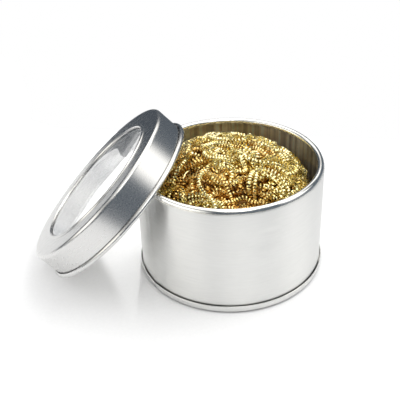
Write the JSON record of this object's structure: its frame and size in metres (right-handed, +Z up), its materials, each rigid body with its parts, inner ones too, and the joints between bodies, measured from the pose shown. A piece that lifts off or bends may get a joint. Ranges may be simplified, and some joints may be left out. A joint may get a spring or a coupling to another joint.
{
  "type": "soldering iron tip cleaning brass",
  "caption": "Brass wool in a round tinplate tin with a rolled rim and seamed base; its slip lid with a clear round window leans on the rim.",
  "frame": {"origin": "on the bench, under the centre of the outline of the open tin and the lid that leans on it", "axes": "+Z up, +X from the leaning lid towards the tin, so the tin's axis is the vertical line at x = 18.5 mm, y = 0"},
  "size_m": [0.1024, 0.068, 0.0534],
  "materials": {
    "tinplate": "satin",
    "lid_plate": "satin",
    "clear_sheet": "gloss",
    "packed_wool": "satin",
    "brass_ribbon": "gloss"
  },
  "bodies": {
    "tin": {"tin_wall": "tinplate", "tin_base": "tinplate"},
    "lid": {"lid_shell": "lid_plate", "lid_window": "clear_sheet", "window_ring": "lid_plate"},
    "wool": {"wool_core": "packed_wool", "wool_strand_01": "brass_ribbon", "wool_strand_02": "brass_ribbon", "wool_strand_03": "brass_ribbon", "wool_strand_04": "brass_ribbon", "wool_strand_05": "brass_ribbon", "wool_strand_06": "brass_ribbon", "wool_strand_07": "brass_ribbon", "wool_strand_08": "brass_ribbon", "wool_strand_09": "brass_ribbon", "wool_strand_10": "brass_ribbon", "wool_strand_11": "brass_ribbon", "wool_strand_12": "brass_ribbon", "wool_strand_13": "brass_ribbon", "wool_strand_14": "brass_ribbon", "wool_strand_15": "brass_ribbon"}
  },
  "joints": [
    {"name": "lid_lift", "type": "slide", "parent": "tin", "child": "lid", "axis": [-0.6947, 0, 0.7193], "range_m": [0, 0.08]},
    {"name": "wool_turn", "type": "hinge", "parent": "tin", "child": "wool", "pos_m": [0.01853, 0, 0.02], "axis": [0, 0, 1], "continuous": true}
  ]
}
